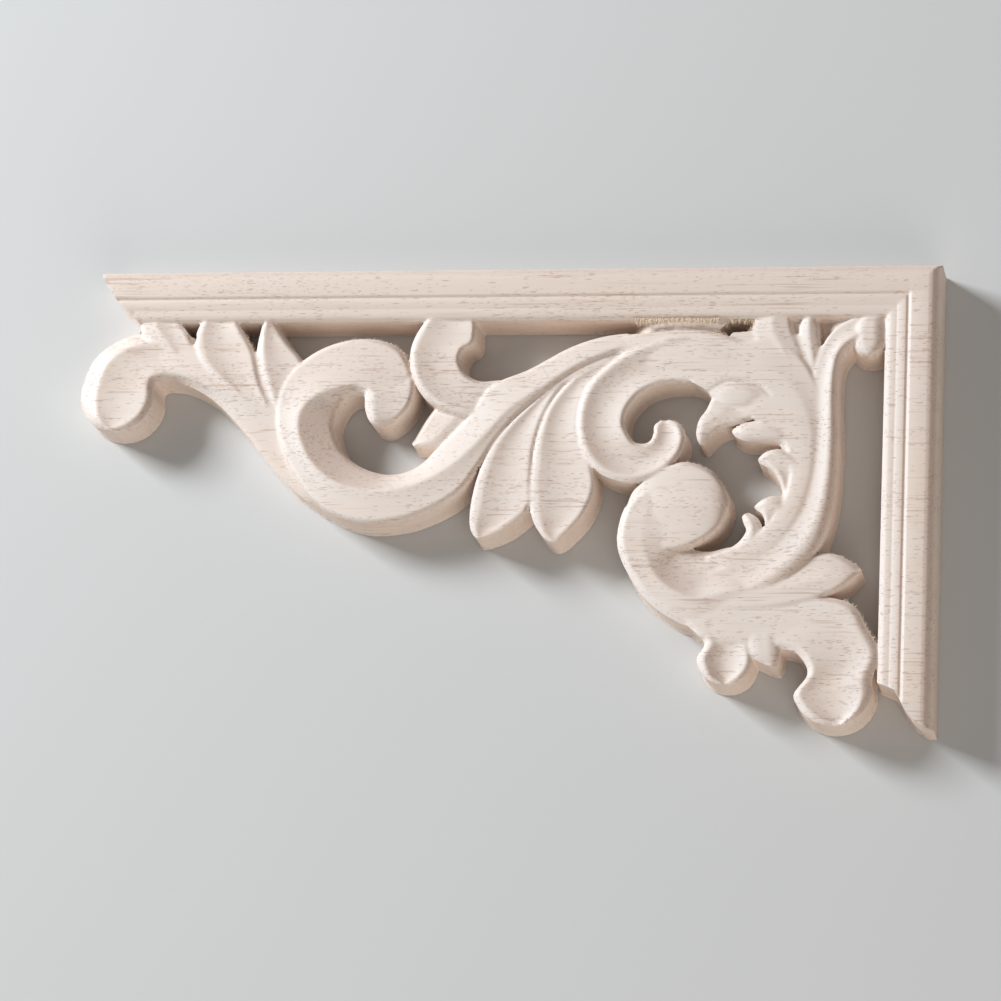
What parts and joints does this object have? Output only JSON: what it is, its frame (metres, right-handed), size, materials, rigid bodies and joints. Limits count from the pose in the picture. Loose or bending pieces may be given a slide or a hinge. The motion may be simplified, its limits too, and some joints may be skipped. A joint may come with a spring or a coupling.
{
  "type": "wooden corner onlay",
  "caption": "Carved wooden corner onlay: two moulded rails meeting at a mitred corner, with pierced scrolls and leaves filling the angle.",
  "frame": {"origin": "on the flat back, where the centre lines of the two rails cross", "axes": "+Z from the flat back to the carved face, -X along the long rail, -Y along the short rail"},
  "size_m": [0.161, 0.0867, 0.01],
  "materials": {
    "pale_wood": "bare, finely sanded, unvarnished"
  },
  "bodies": {
    "root": {"corner_onlay": "pale_wood"}
  },
  "joints": []
}
